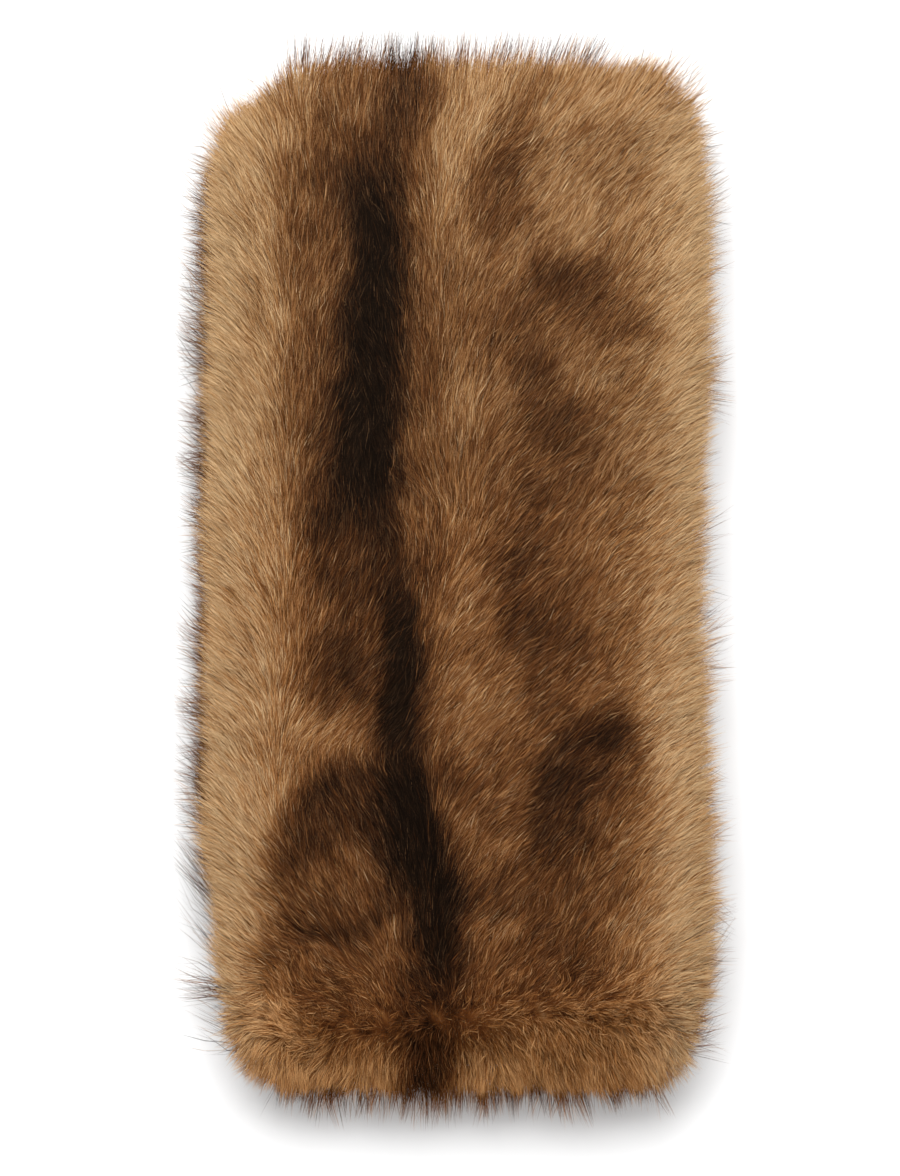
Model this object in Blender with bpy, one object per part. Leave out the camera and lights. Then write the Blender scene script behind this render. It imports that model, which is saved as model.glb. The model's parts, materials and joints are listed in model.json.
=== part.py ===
"""A fur collar wrap: one long strip of deep-pile fur cloth, folded in half and lying flat.

The strip runs along Y. Its front leaf lies on its back leaf, both free ends are at +Y, and
the fold that joins them is at -Y. The solids reach as far as the fur does. The origin is the
middle of the wrap's footprint, on the surface that it lies on. Metres, +Z up.
"""

import math
from collections import namedtuple

import bmesh
import bpy
from mathutils import noise

MM = 0.001

# Driving sizes of the folded wrap, over the fur
LENGTH = 410 * MM
HALF_WIDTH = 103 * MM
BACK_LOFT = 19 * MM
FRONT_LOFT = 25 * MM
SEAM_GAP = 0.3 * MM

# The leaves end here and the fold begins
FOLD_START_Y = -166 * MM

# Free edge of a leaf in section: how far the fur rolls off, across and in height. A roll
# takes up at most WIDEST_ROLL of a section's width
CROWN_ROLL = 26 * MM
TUCK_ROLL = 9 * MM
TUCK_DEPTH = 7 * MM
FLOOR_ROLL = 12 * MM
FLOOR_DEPTH = 8 * MM
CROWN_RISE = 1.6 * MM
WIDEST_ROLL = 0.45

# The fold's round nose
FOLD_NOSE_OVER = 34 * MM
FOLD_NOSE_UNDER = 22 * MM
FOLD_WAIST = 20 * MM

# Blunt tip left at a rounded end, so that no edge is sharp
END_STUB = 0.6 * MM

# Locks of fur: each is a low teardrop, combed towards +Y and away from the spine line
SPINE_X = -18 * MM
LOCK_WIDTH = 15 * MM
LOCK_LENGTH = 38 * MM
LOCK_ROW = 19 * MM
LOCK_RISE = 2.6 * MM
LOCK_CREST = 0.75
LOCK_SCATTER = 0.35
NEAR_COLUMNS = range(-2, 3)
NEAR_ROWS = range(-3, 2)
LEAN_AT_EDGE = math.radians(34)
EDGE_TUFT = 1.8 * MM

# Points round a section and sections along a piece, and the angle that is shaded sharp
FUR_POINTS = 34
PLAIN_POINTS = 16
ROLL_POINTS = 5
TUCK_POINTS = 3
FRONT_STEP = 5.6 * MM
BACK_STEP = 12 * MM
END_SECTIONS = 6
SHARP_ANGLE = math.radians(60)

# Outline over the fur: y, and how far the fur reaches to the left and right of the middle line
Reach = namedtuple("Reach", "y left right")
OUTLINE = (
    Reach(y=205 * MM, left=101.0 * MM, right=99.0 * MM),
    Reach(y=146 * MM, left=103.0 * MM, right=102.6 * MM),
    Reach(y=128 * MM, left=101.6 * MM, right=103.0 * MM),
    Reach(y=88 * MM, left=101.6 * MM, right=102.4 * MM),
    Reach(y=62 * MM, left=103.0 * MM, right=101.4 * MM),
    Reach(y=19 * MM, left=103.0 * MM, right=98.6 * MM),
    Reach(y=-20 * MM, left=102.8 * MM, right=98.4 * MM),
    Reach(y=-62 * MM, left=101.4 * MM, right=100.4 * MM),
    Reach(y=-108 * MM, left=100.6 * MM, right=102.4 * MM),
    Reach(y=-142 * MM, left=96.0 * MM, right=103.0 * MM),
    Reach(y=-166 * MM, left=96.6 * MM, right=101.0 * MM),
    Reach(y=-205 * MM, left=93.0 * MM, right=98.0 * MM),
)

# Corner radii seen from above, at the free ends (+Y) and at the fold (-Y)
FREE_CORNER = {"left": 54 * MM, "right": 42 * MM}
FOLD_CORNER = {"left": 46 * MM, "right": 38 * MM}

# Soft hollows and swells of the combed fur: middle, reach across and along, and height
Swell = namedtuple("Swell", "x y across along rise")
SWELLS = (
    Swell(x=-27 * MM, y=92 * MM, across=17 * MM, along=88 * MM, rise=-3.2 * MM),
    Swell(x=-16 * MM, y=-78 * MM, across=20 * MM, along=50 * MM, rise=-2.6 * MM),
    Swell(x=-58 * MM, y=-62 * MM, across=26 * MM, along=16 * MM, rise=1.8 * MM),
    Swell(x=16 * MM, y=-52 * MM, across=26 * MM, along=17 * MM, rise=2.2 * MM),
    Swell(x=52 * MM, y=-70 * MM, across=26 * MM, along=22 * MM, rise=-1.8 * MM),
    Swell(x=44 * MM, y=60 * MM, across=34 * MM, along=60 * MM, rise=1.4 * MM),
    Swell(x=-66 * MM, y=60 * MM, across=24 * MM, along=90 * MM, rise=1.2 * MM),
)

# Colour, roughness and metallic value of each piece's fur
Finish = namedtuple("Finish", "color roughness metallic")
FRONT_FUR = Finish(color=(0.30, 0.165, 0.075, 1.0), roughness=0.72, metallic=0.0)
FOLD_FUR = Finish(color=(0.26, 0.135, 0.058, 1.0), roughness=0.72, metallic=0.0)
BACK_FUR = Finish(color=(0.20, 0.115, 0.060, 1.0), roughness=0.76, metallic=0.0)

# One section of a piece, across the strip: it is widest at height waist, reaches top above
# it and bottom below it, and rolls off over top_roll and bottom_roll at each side
Section = namedtuple("Section", "y left right waist top bottom top_roll bottom_roll locks")


def clear_scene():
    """Removes every object of the scene."""
    for obj in list(bpy.data.objects):
        bpy.data.objects.remove(obj, do_unlink=True)


def side_reach(y, side):
    """How far the fur reaches to one side at y, before the corners are rounded."""
    rows = sorted(OUTLINE)
    for lower, upper in zip(rows, rows[1:]):
        if y <= upper.y:
            share = max(0.0, (y - lower.y) / (upper.y - lower.y))
            eased = share * share * (3 - 2 * share)
            return getattr(lower, side) * (1 - eased) + getattr(upper, side) * eased
    return getattr(rows[-1], side)


def rounded_off(distance, radius):
    """Share of full size at a distance inside an end that is rounded over radius."""
    short = max(0.0, 1 - distance / radius)
    return math.sqrt(max(0.0, 1 - short * short))


def plan_reach(y, side):
    """How far the fur reaches to one side at y, corners and edge tufts included."""
    free = rounded_off(LENGTH / 2 - y, FREE_CORNER[side])
    folded = rounded_off(y + LENGTH / 2, FOLD_CORNER[side])
    phase = 0.0 if side == "left" else 2.0
    tuft = 0.5 + 0.5 * math.sin(2 * math.pi * y / LOCK_ROW + phase)
    reach = side_reach(y, side) - EDGE_TUFT * tuft
    return reach - (1 - free) * FREE_CORNER[side] - (1 - folded) * FOLD_CORNER[side]


def scattered(column, row, salt):
    """A steady number between -1 and 1 for one lock of fur."""
    return 2 * noise.cell((column + 0.5, row + 0.5, salt)) - 1


def teardrop(x, y, column, row):
    """Height at a point of one lock of fur, which swells from its root to a blunt tip."""
    stagger = 0.5 * (row % 2)
    root_x = (column + stagger + LOCK_SCATTER * scattered(column, row, 0.5)) * LOCK_WIDTH
    root_y = (row + LOCK_SCATTER * scattered(column, row, 1.5)) * LOCK_ROW
    lean = LEAN_AT_EDGE * (root_x - SPINE_X) / HALF_WIDTH
    across = (x - root_x) * math.cos(lean) - (y - root_y) * math.sin(lean)
    along = (x - root_x) * math.sin(lean) + (y - root_y) * math.cos(lean)
    share = along / LOCK_LENGTH
    side = 2 * across / LOCK_WIDTH
    if not 0 < share < 1 or abs(side) >= 1:
        return 0.0
    ramp = min(share / LOCK_CREST, (1 - share) / (1 - LOCK_CREST))
    return LOCK_RISE * ramp * (1 - side * side)


def lock_height(x, y):
    """Height of the locks of fur at a point: the highest lock that lies over it."""
    column = math.floor(x / LOCK_WIDTH)
    row = math.floor(y / LOCK_ROW)
    return max(
        teardrop(x, y, column + i, row + j)
        for i in NEAR_COLUMNS
        for j in NEAR_ROWS
    )


def swell_height(x, y):
    """Height of the soft hollows and swells."""
    return sum(
        s.rise * math.exp(-(((x - s.x) / s.across) ** 2) - ((y - s.y) / s.along) ** 2)
        for s in SWELLS
    )


def quarter_arc(count):
    """Shares (out, up) round a quarter ellipse, from its widest point to its top."""
    angles = [0.5 * math.pi * i / count for i in range(1, count + 1)]
    return [(math.cos(a), math.sin(a)) for a in angles]


def section_ring(section, top_points):
    """The points round one section, anticlockwise as seen from -Y."""
    s = section
    over = quarter_arc(ROLL_POINTS)
    under = quarter_arc(TUCK_POINTS)
    left, right = -s.left, s.right
    width = right - left
    top_roll = min(s.top_roll, WIDEST_ROLL * width)
    bottom_roll = min(s.bottom_roll, WIDEST_ROLL * width)

    def top_point(x, up):
        middle = (x - left) / width
        crown = CROWN_RISE * 4 * middle * (1 - middle)
        relief = s.locks * up * (crown + lock_height(x, s.y) + swell_height(x, s.y))
        return x, s.y, s.waist + s.top * up + relief

    points = [(right - bottom_roll * (1 - out), s.y, s.waist - s.bottom * up)
              for out, up in reversed(under)]
    points.append((right, s.y, s.waist))
    points += [top_point(right - top_roll * (1 - out), up) for out, up in over]
    flat_from, flat_to = right - top_roll, left + top_roll
    points += [
        top_point(flat_from + (flat_to - flat_from) * i / top_points, 1.0)
        for i in range(1, top_points)
    ]
    points += [top_point(left + top_roll * (1 - out), up) for out, up in reversed(over)]
    points.append((left, s.y, s.waist))
    points += [(left + bottom_roll * (1 - out), s.y, s.waist - s.bottom * up)
               for out, up in under]
    return points


def loft(name, sections, top_points):
    """A closed solid through sections that run towards +Y, with flat ends."""
    mesh = bpy.data.meshes.new(name)
    body = bmesh.new()
    rings = [[body.verts.new(p) for p in section_ring(s, top_points)] for s in sections]
    count = len(rings[0])
    for ring, following in zip(rings, rings[1:]):
        for i in range(count):
            j = (i + 1) % count
            body.faces.new((ring[i], ring[j], following[j], following[i]))
    body.faces.new(list(reversed(rings[0])))
    body.faces.new(rings[-1])
    bmesh.ops.recalc_face_normals(body, faces=body.faces)
    body.to_mesh(mesh)
    body.free()
    obj = bpy.data.objects.new(name, mesh)
    mesh.shade_smooth()
    mesh.set_sharp_from_angle(angle=SHARP_ANGLE)
    return obj


def end_steps(reach):
    """Distances from a rounded end, from its tip inwards, closest together at the tip."""
    shares = [i / END_SECTIONS for i in range(END_SECTIONS)]
    return [END_STUB + (reach - END_STUB) * share**2 for share in shares]


def leaf_stations(step):
    """The places of a leaf's sections, from the fold to the free end."""
    start = FOLD_START_Y + SEAM_GAP
    rounding = max(FREE_CORNER.values())
    rounded_from = LENGTH / 2 - rounding
    count = round((rounded_from - start) / step)
    straight = [start + (rounded_from - start) * i / count for i in range(count + 1)]
    rounded = [LENGTH / 2 - d for d in reversed(end_steps(rounding))]
    return straight + rounded


def front_leaf():
    """The leaf that lies on top, its fur upwards and combed towards the free end."""
    parting = BACK_LOFT + SEAM_GAP
    sections = []
    for y in leaf_stations(FRONT_STEP):
        from_end = LENGTH / 2 - y
        over = rounded_off(from_end, CROWN_ROLL)
        under = rounded_off(from_end, TUCK_ROLL)
        sections.append(
            Section(
                y=y,
                left=plan_reach(y, "left"),
                right=plan_reach(y, "right"),
                waist=parting + TUCK_DEPTH,
                top=(FRONT_LOFT - TUCK_DEPTH - LOCK_RISE - CROWN_RISE) * over,
                bottom=TUCK_DEPTH * under,
                top_roll=CROWN_ROLL,
                bottom_roll=TUCK_ROLL,
                locks=over,
            )
        )
    return loft("front_leaf", sections, FUR_POINTS)


def back_leaf():
    """The leaf underneath, whose fur lies flat on the surface below."""
    sections = []
    for y in leaf_stations(BACK_STEP):
        from_end = LENGTH / 2 - y
        sections.append(
            Section(
                y=y,
                left=plan_reach(y, "left"),
                right=plan_reach(y, "right"),
                waist=FLOOR_DEPTH,
                top=(BACK_LOFT - FLOOR_DEPTH) * rounded_off(from_end, TUCK_ROLL),
                bottom=FLOOR_DEPTH * rounded_off(from_end, FLOOR_ROLL),
                top_roll=TUCK_ROLL,
                bottom_roll=FLOOR_ROLL,
                locks=0.0,
            )
        )
    return loft("back_leaf", sections, PLAIN_POINTS)


def bottom_fold():
    """The turn that joins the leaves, a round nose with the hidden layers inside it."""
    nose = FOLD_START_Y + LENGTH / 2
    height = BACK_LOFT + SEAM_GAP + FRONT_LOFT
    tip_first = end_steps(nose) + [nose]
    sections = []
    for from_end in tip_first:
        y = -LENGTH / 2 + from_end
        over = rounded_off(from_end, FOLD_NOSE_OVER)
        sections.append(
            Section(
                y=y,
                left=plan_reach(y, "left"),
                right=plan_reach(y, "right"),
                waist=FOLD_WAIST,
                top=(height - FOLD_WAIST - LOCK_RISE - CROWN_RISE) * over,
                bottom=FOLD_WAIST * rounded_off(from_end, FOLD_NOSE_UNDER),
                top_roll=CROWN_ROLL,
                bottom_roll=FLOOR_ROLL,
                locks=over,
            )
        )
    return loft("bottom_fold", sections, FUR_POINTS)


def give_finish(obj, finish):
    """Gives a piece its own plain material."""
    material = bpy.data.materials.new(obj.name + "_fur")
    material.use_nodes = True
    shader = material.node_tree.nodes["Principled BSDF"]
    shader.inputs["Base Color"].default_value = finish.color
    shader.inputs["Roughness"].default_value = finish.roughness
    shader.inputs["Metallic"].default_value = finish.metallic
    material.diffuse_color = finish.color
    obj.data.materials.append(material)


def main():
    """Builds the wrap's three stretches in a collection of their own."""
    clear_scene()
    wrap = bpy.data.collections.new("fur_collar_wrap")
    bpy.context.scene.collection.children.link(wrap)
    for build, finish in (
        (back_leaf, BACK_FUR),
        (bottom_fold, FOLD_FUR),
        (front_leaf, FRONT_FUR),
    ):
        piece = build()
        wrap.objects.link(piece)
        give_finish(piece, finish)


main()
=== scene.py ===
"""Looks of the fur collar wrap: long-pile fur cloth, folded in half and lying flat.

The cloth is one strip, cut flat and folded over its own turn. Its pile is grown on it hair by
hair: each hair is a copy of one modelled blade, bent along the comb of the nap and dyed by
its place on the pelt. Metres, +Z up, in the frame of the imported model.
"""

import json
import logging
import math
from dataclasses import dataclass, field, fields
from enum import Enum

import bmesh
import bpy
import numpy as np
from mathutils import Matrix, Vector, kdtree

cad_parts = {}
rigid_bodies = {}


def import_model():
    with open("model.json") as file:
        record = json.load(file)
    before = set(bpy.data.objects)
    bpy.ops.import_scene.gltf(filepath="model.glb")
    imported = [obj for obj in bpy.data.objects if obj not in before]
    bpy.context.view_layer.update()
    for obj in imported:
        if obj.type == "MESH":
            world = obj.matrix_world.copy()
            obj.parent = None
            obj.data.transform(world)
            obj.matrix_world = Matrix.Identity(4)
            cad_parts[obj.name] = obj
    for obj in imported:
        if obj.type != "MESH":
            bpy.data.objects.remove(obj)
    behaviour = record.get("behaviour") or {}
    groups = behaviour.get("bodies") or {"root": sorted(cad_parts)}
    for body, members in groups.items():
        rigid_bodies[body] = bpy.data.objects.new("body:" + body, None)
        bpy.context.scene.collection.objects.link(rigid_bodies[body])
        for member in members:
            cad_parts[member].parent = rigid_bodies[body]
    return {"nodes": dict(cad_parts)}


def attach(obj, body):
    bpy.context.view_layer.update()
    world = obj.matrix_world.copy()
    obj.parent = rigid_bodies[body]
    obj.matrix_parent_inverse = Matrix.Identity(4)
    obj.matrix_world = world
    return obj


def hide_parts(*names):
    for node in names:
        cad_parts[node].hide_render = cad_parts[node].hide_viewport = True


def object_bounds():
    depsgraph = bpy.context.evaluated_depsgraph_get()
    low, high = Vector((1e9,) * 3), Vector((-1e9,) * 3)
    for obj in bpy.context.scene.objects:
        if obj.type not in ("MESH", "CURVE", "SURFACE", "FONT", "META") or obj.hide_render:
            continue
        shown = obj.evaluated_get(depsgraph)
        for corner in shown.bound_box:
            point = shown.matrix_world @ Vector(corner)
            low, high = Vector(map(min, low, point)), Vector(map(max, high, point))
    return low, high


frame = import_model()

LOG = logging.getLogger("fur_collar_wrap")
MM = 0.001
CAD_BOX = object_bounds()


def smooth_step(value: np.ndarray, low: float, high: float) -> np.ndarray:
    """Eases from 0 at low to 1 at high.

    Args:
        value: Numbers to ease.
        low: Where the result leaves 0.
        high: Where the result reaches 1.

    Returns:
        The eased shares, of value's shape.
    """
    share = np.clip((value - low) / (high - low), 0.0, 1.0)
    return share * share * (3.0 - 2.0 * share)


def unit(vectors: np.ndarray) -> np.ndarray:
    """Scales each row of vectors to a length of one."""
    return vectors / np.maximum(np.linalg.norm(vectors, axis=1, keepdims=True), 1e-9)


def note(mesh: bpy.types.Mesh, name: str, values: np.ndarray) -> None:
    """Writes one number to each point of a mesh, for its material to read."""
    attribute = mesh.attributes.new(name, "FLOAT", "POINT")
    attribute.data.foreach_set("value", values.astype(np.float32))


def deselect_all() -> None:
    """Leaves no object selected, so that operators act on new pieces only."""
    for obj in bpy.context.view_layer.objects:
        obj.select_set(False)


@dataclass
class Outline:
    """How far the wrap reaches to each side along its length, read from the frame."""

    nodes: tuple[str, ...] = ("bottom_fold", "front_leaf")
    station: np.ndarray = field(init=False)
    left: np.ndarray = field(init=False)
    right: np.ndarray = field(init=False)

    def __post_init__(self) -> None:
        """Collects the widest points of each of the frame's sections."""
        meshes = [frame["nodes"][name].data for name in self.nodes]
        points = np.vstack([np.array([v.co for v in mesh.vertices]) for mesh in meshes])
        keys = np.round(points[:, 1], 4)
        self.station = np.unique(keys)
        self.left = np.array([points[keys == y, 0].min() for y in self.station])
        self.right = np.array([points[keys == y, 0].max() for y in self.station])

    def edges(self, y: np.ndarray) -> tuple[np.ndarray, np.ndarray]:
        """Left and right edge of the fur at each y."""
        left = np.interp(y, self.station, self.left)
        return left, np.interp(y, self.station, self.right)


@dataclass(frozen=True)
class Noise:
    """Soft random waves over the wrap, with a spread of about one."""

    grain: float
    seed: int
    cells: int = 128
    gain: float = 1.5

    def at(self, x: np.ndarray, y: np.ndarray) -> np.ndarray:
        """The waves' height at each place."""
        lattice = np.random.default_rng(self.seed).standard_normal((self.cells, self.cells))
        u, v = x / self.grain, y / self.grain
        i, j = np.floor(u).astype(int), np.floor(v).astype(int)
        s, t = smooth_step(u - i, 0, 1), smooth_step(v - j, 0, 1)
        i, j, after_i, after_j = (n % self.cells for n in (i, j, i + 1, j + 1))
        near = lattice[i, j] * (1 - s) + lattice[after_i, j] * s
        far = lattice[i, after_j] * (1 - s) + lattice[after_i, after_j] * s
        return self.gain * (near * (1 - t) + far * t)


@dataclass(frozen=True)
class Comb:
    """How the nap lies along one row across the wrap.

    Each name from left_edge to right_edge is a place across the wrap, and its value is the
    nap's lean there, in degrees from +Y towards +X. The lifts are degrees off the cloth at a
    hair's root and tip. Unrest is how many degrees the lean wavers, and ruffle and gather are
    how far the hairs stray on their own and are drawn together into locks.
    """

    y: float
    left_edge: float
    left_band: float
    left_parting: float
    crest: float
    spine: float
    spine_side: float
    parting: float
    right: float
    right_band: float
    right_edge: float
    root_lift: float = 61.0
    tip_lift: float = 36.0
    length: float = 15.6 * MM
    ruffle: float = 0.17
    gather: float = 0.08
    unrest: float = 6.0


@dataclass(frozen=True)
class Marking:
    """One soft patch of the pelt: an ellipse that may be turned, and how dark it is."""

    x: float
    y: float
    half_width: float
    half_length: float
    level: float
    turn: float = 0.0

    @classmethod
    def mm(
        cls, x: float, y: float, half_width: float, half_length: float, level: float, turn: float = 0.0
    ) -> "Marking":
        """A marking whose place and half sizes are in millimetres, and its turn in degrees."""
        return cls(x * MM, y * MM, half_width * MM, half_length * MM, level, turn)

    def distance(self, x: np.ndarray, y: np.ndarray) -> np.ndarray:
        """How far from its middle each place is: 1 on the ellipse.

        Args:
            x: Places across the wrap.
            y: Places along the wrap.

        Returns:
            The distances, as shares of the ellipse's half size that way.
        """
        turn = math.radians(self.turn)
        across = (x - self.x) * math.cos(turn) + (y - self.y) * math.sin(turn)
        along = (y - self.y) * math.cos(turn) - (x - self.x) * math.sin(turn)
        return np.hypot(across / self.half_width, along / self.half_length)


@dataclass(frozen=True)
class Knot:
    """One point along the dark stripe of the back."""

    y: float
    x: float
    half_width: float
    level: float

    @classmethod
    def mm(cls, y: float, x: float, half_width: float, level: float) -> "Knot":
        """A knot whose place and half width are in millimetres."""
        return cls(y * MM, x * MM, half_width * MM, level)


@dataclass
class Nap:
    """The lie of the fur over the front leaf and the fold.

    Drift turns it slowly from place to place, swell raises and lengthens it, and wander moves
    its rows at the fold, over the stretch that wander_start gives. It stands upright where
    neighbouring leans face each other, so that their mean is shorter than upright_below.
    """

    places: dict[str, float] = field(default_factory=lambda: {
        "left_edge": -92 * MM, "left_band": -75 * MM, "left_parting": -59 * MM,
        "crest": -44 * MM, "spine": -28 * MM, "spine_side": -13 * MM, "parting": 2 * MM,
        "right": 18 * MM, "right_band": 50 * MM, "right_edge": 93 * MM,
    })
    combs: tuple[Comb, ...] = (
        Comb(190 * MM, -38, -28, 18, 26, 22, 10, 16, 32, 43, 46),
        Comb(170 * MM, -50, -22, 12, 16, 14, 8, 22, 38, 42, 46),
        Comb(145 * MM, -46, -30, 0, 0, -15, -8, 26, 38, 44, 46),
        Comb(100 * MM, -44, -28, 8, 22, -6, -8, 22, 37, 43, 46),
        Comb(50 * MM, -45, -25, 12, 15, -18, -16, 8, 37, 40, 46),
        Comb(10 * MM, -43, -29, 12, 5, -15, -16, 14, 40, 41, 46),
        Comb(-20 * MM, -42, -28, 20, 32, 26, 0, 28, 44, 44, 48),
        Comb(-65 * MM, -41, -31, 36, 43, 40, 32, 42, 50, 48, 55),
        Comb(-86 * MM, -41, -28, 10, -25, -26, -10, 30, 42, 38, 52),
        Comb(-110 * MM, -41, -32, -22, -20, -20, -12, 25, 40, 33, 50),
        Comb(-141 * MM, -46, -42, -40, -36, -25, -12, 30, 36, 28, 48,
             root_lift=62, tip_lift=38, length=15.4 * MM, gather=0.15, unrest=9),
        Comb(-161 * MM, -44, -44, -42, -42, -36, -16, 24, 34, 38, 56,
             root_lift=66, tip_lift=42, length=14 * MM, ruffle=0.26, gather=0.3, unrest=18),
        Comb(-172 * MM, -70, -66, -60, -52, -36, -14, 14, 46, 70, 84,
             root_lift=74, tip_lift=56, length=12 * MM, ruffle=0.32, gather=0.4, unrest=32),
        Comb(-181 * MM, -116, -132, -146, -152, -160, -168, 176, 164, 150, 118,
             root_lift=60, tip_lift=30, length=13.5 * MM, ruffle=0.28, gather=0.4, unrest=28),
        Comb(-204 * MM, -126, -140, -150, -158, -166, -172, 178, 168, 152, 126,
             root_lift=34, tip_lift=6, length=14 * MM, ruffle=0.2, gather=0.35, unrest=16),
    )
    drift: Noise = Noise(grain=24 * MM, seed=3)
    drift_turn: float = math.radians(4)
    waver: Noise = Noise(grain=6 * MM, seed=4)
    swell: Noise = Noise(grain=13 * MM, seed=5)
    swell_lift: float = math.radians(3.5)
    swell_length: float = 0.05
    wander: Noise = Noise(grain=13 * MM, seed=8)
    wander_reach: float = 3.6 * MM
    wander_start: tuple[float, float] = (145 * MM, 165 * MM)
    upright: float = math.radians(86)
    upright_below: tuple[float, float] = (0.1, 0.8)
    streak_gain: float = 0.8

    def at(self, roots: np.ndarray) -> dict[str, np.ndarray]:
        """Blends the rows and places of the comb chart at each root.

        Args:
            roots: Places of hair roots, one a row.

        Returns:
            The nap's direction (east, north), its lifts in radians, its hairs' length, and
            how far it is ruffled and gathered into locks.
        """
        rows = sorted(self.combs, key=lambda comb: comb.y)
        x, y = roots[:, 0], roots[:, 1]
        y = y + self.wander_reach * self.wander.at(x, y) * smooth_step(-y, *self.wander_start)
        along = np.array([comb.y for comb in rows])
        across = np.array(list(self.places.values()))
        leans = np.radians([[getattr(comb, name) for name in self.places] for comb in rows])
        row = np.clip(np.interp(y, along, np.arange(len(rows))), 0, len(rows) - 1.001)
        place = np.clip(np.interp(x, across, np.arange(len(across))), 0, len(across) - 1.001)
        i, j = row.astype(int), place.astype(int)
        up, over = smooth_step(row - i, 0, 1), smooth_step(place - j, 0, 1)

        def blended(chart: np.ndarray) -> np.ndarray:
            """The chart's value at each root."""
            lower = chart[i, j] * (1 - over) + chart[i, j + 1] * over
            upper = chart[i + 1, j] * (1 - over) + chart[i + 1, j + 1] * over
            return lower * (1 - up) + upper * up

        east, north = blended(np.sin(leans)), blended(np.cos(leans))
        erect = 1 - smooth_step(np.hypot(east, north), *self.upright_below)
        lean = np.arctan2(east, north)
        swell = self.swell.at(x, y)
        result = {name: np.interp(y, along, [getattr(comb, name) for comb in rows])
                  for name in ("root_lift", "tip_lift", "length", "ruffle", "gather", "unrest")}
        lean += self.drift_turn * self.drift.at(x, y)
        lean += np.radians(result["unrest"]) * self.waver.at(x, y)
        for name in ("root_lift", "tip_lift"):
            lift = np.radians(result[name]) + self.swell_lift * swell
            result[name] = lift + (self.upright - lift) * erect
        result["length"] *= 1 + self.swell_length * swell
        result["east"], result["north"] = np.sin(lean), np.cos(lean)
        return result

    def streaks(self, roots: np.ndarray, noise: Noise, steps: int, stride: float) -> np.ndarray:
        """Draws noise out along the nap, so that hairs of one lock share it.

        Args:
            roots: Places of hair roots, one a row.
            noise: The noise to draw out.
            steps: How many samples are taken up the nap.
            stride: Distance between samples.

        Returns:
            The streaks' strength at each root, with a spread of about one.
        """
        place = roots[:, :2].copy()
        total = np.zeros(len(place))
        for _ in range(steps):
            comb = self.at(place)
            place -= stride * np.column_stack([comb["east"], comb["north"]])
            total += noise.at(place[:, 0], place[:, 1])
        return total / math.sqrt(steps) * self.streak_gain


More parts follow.
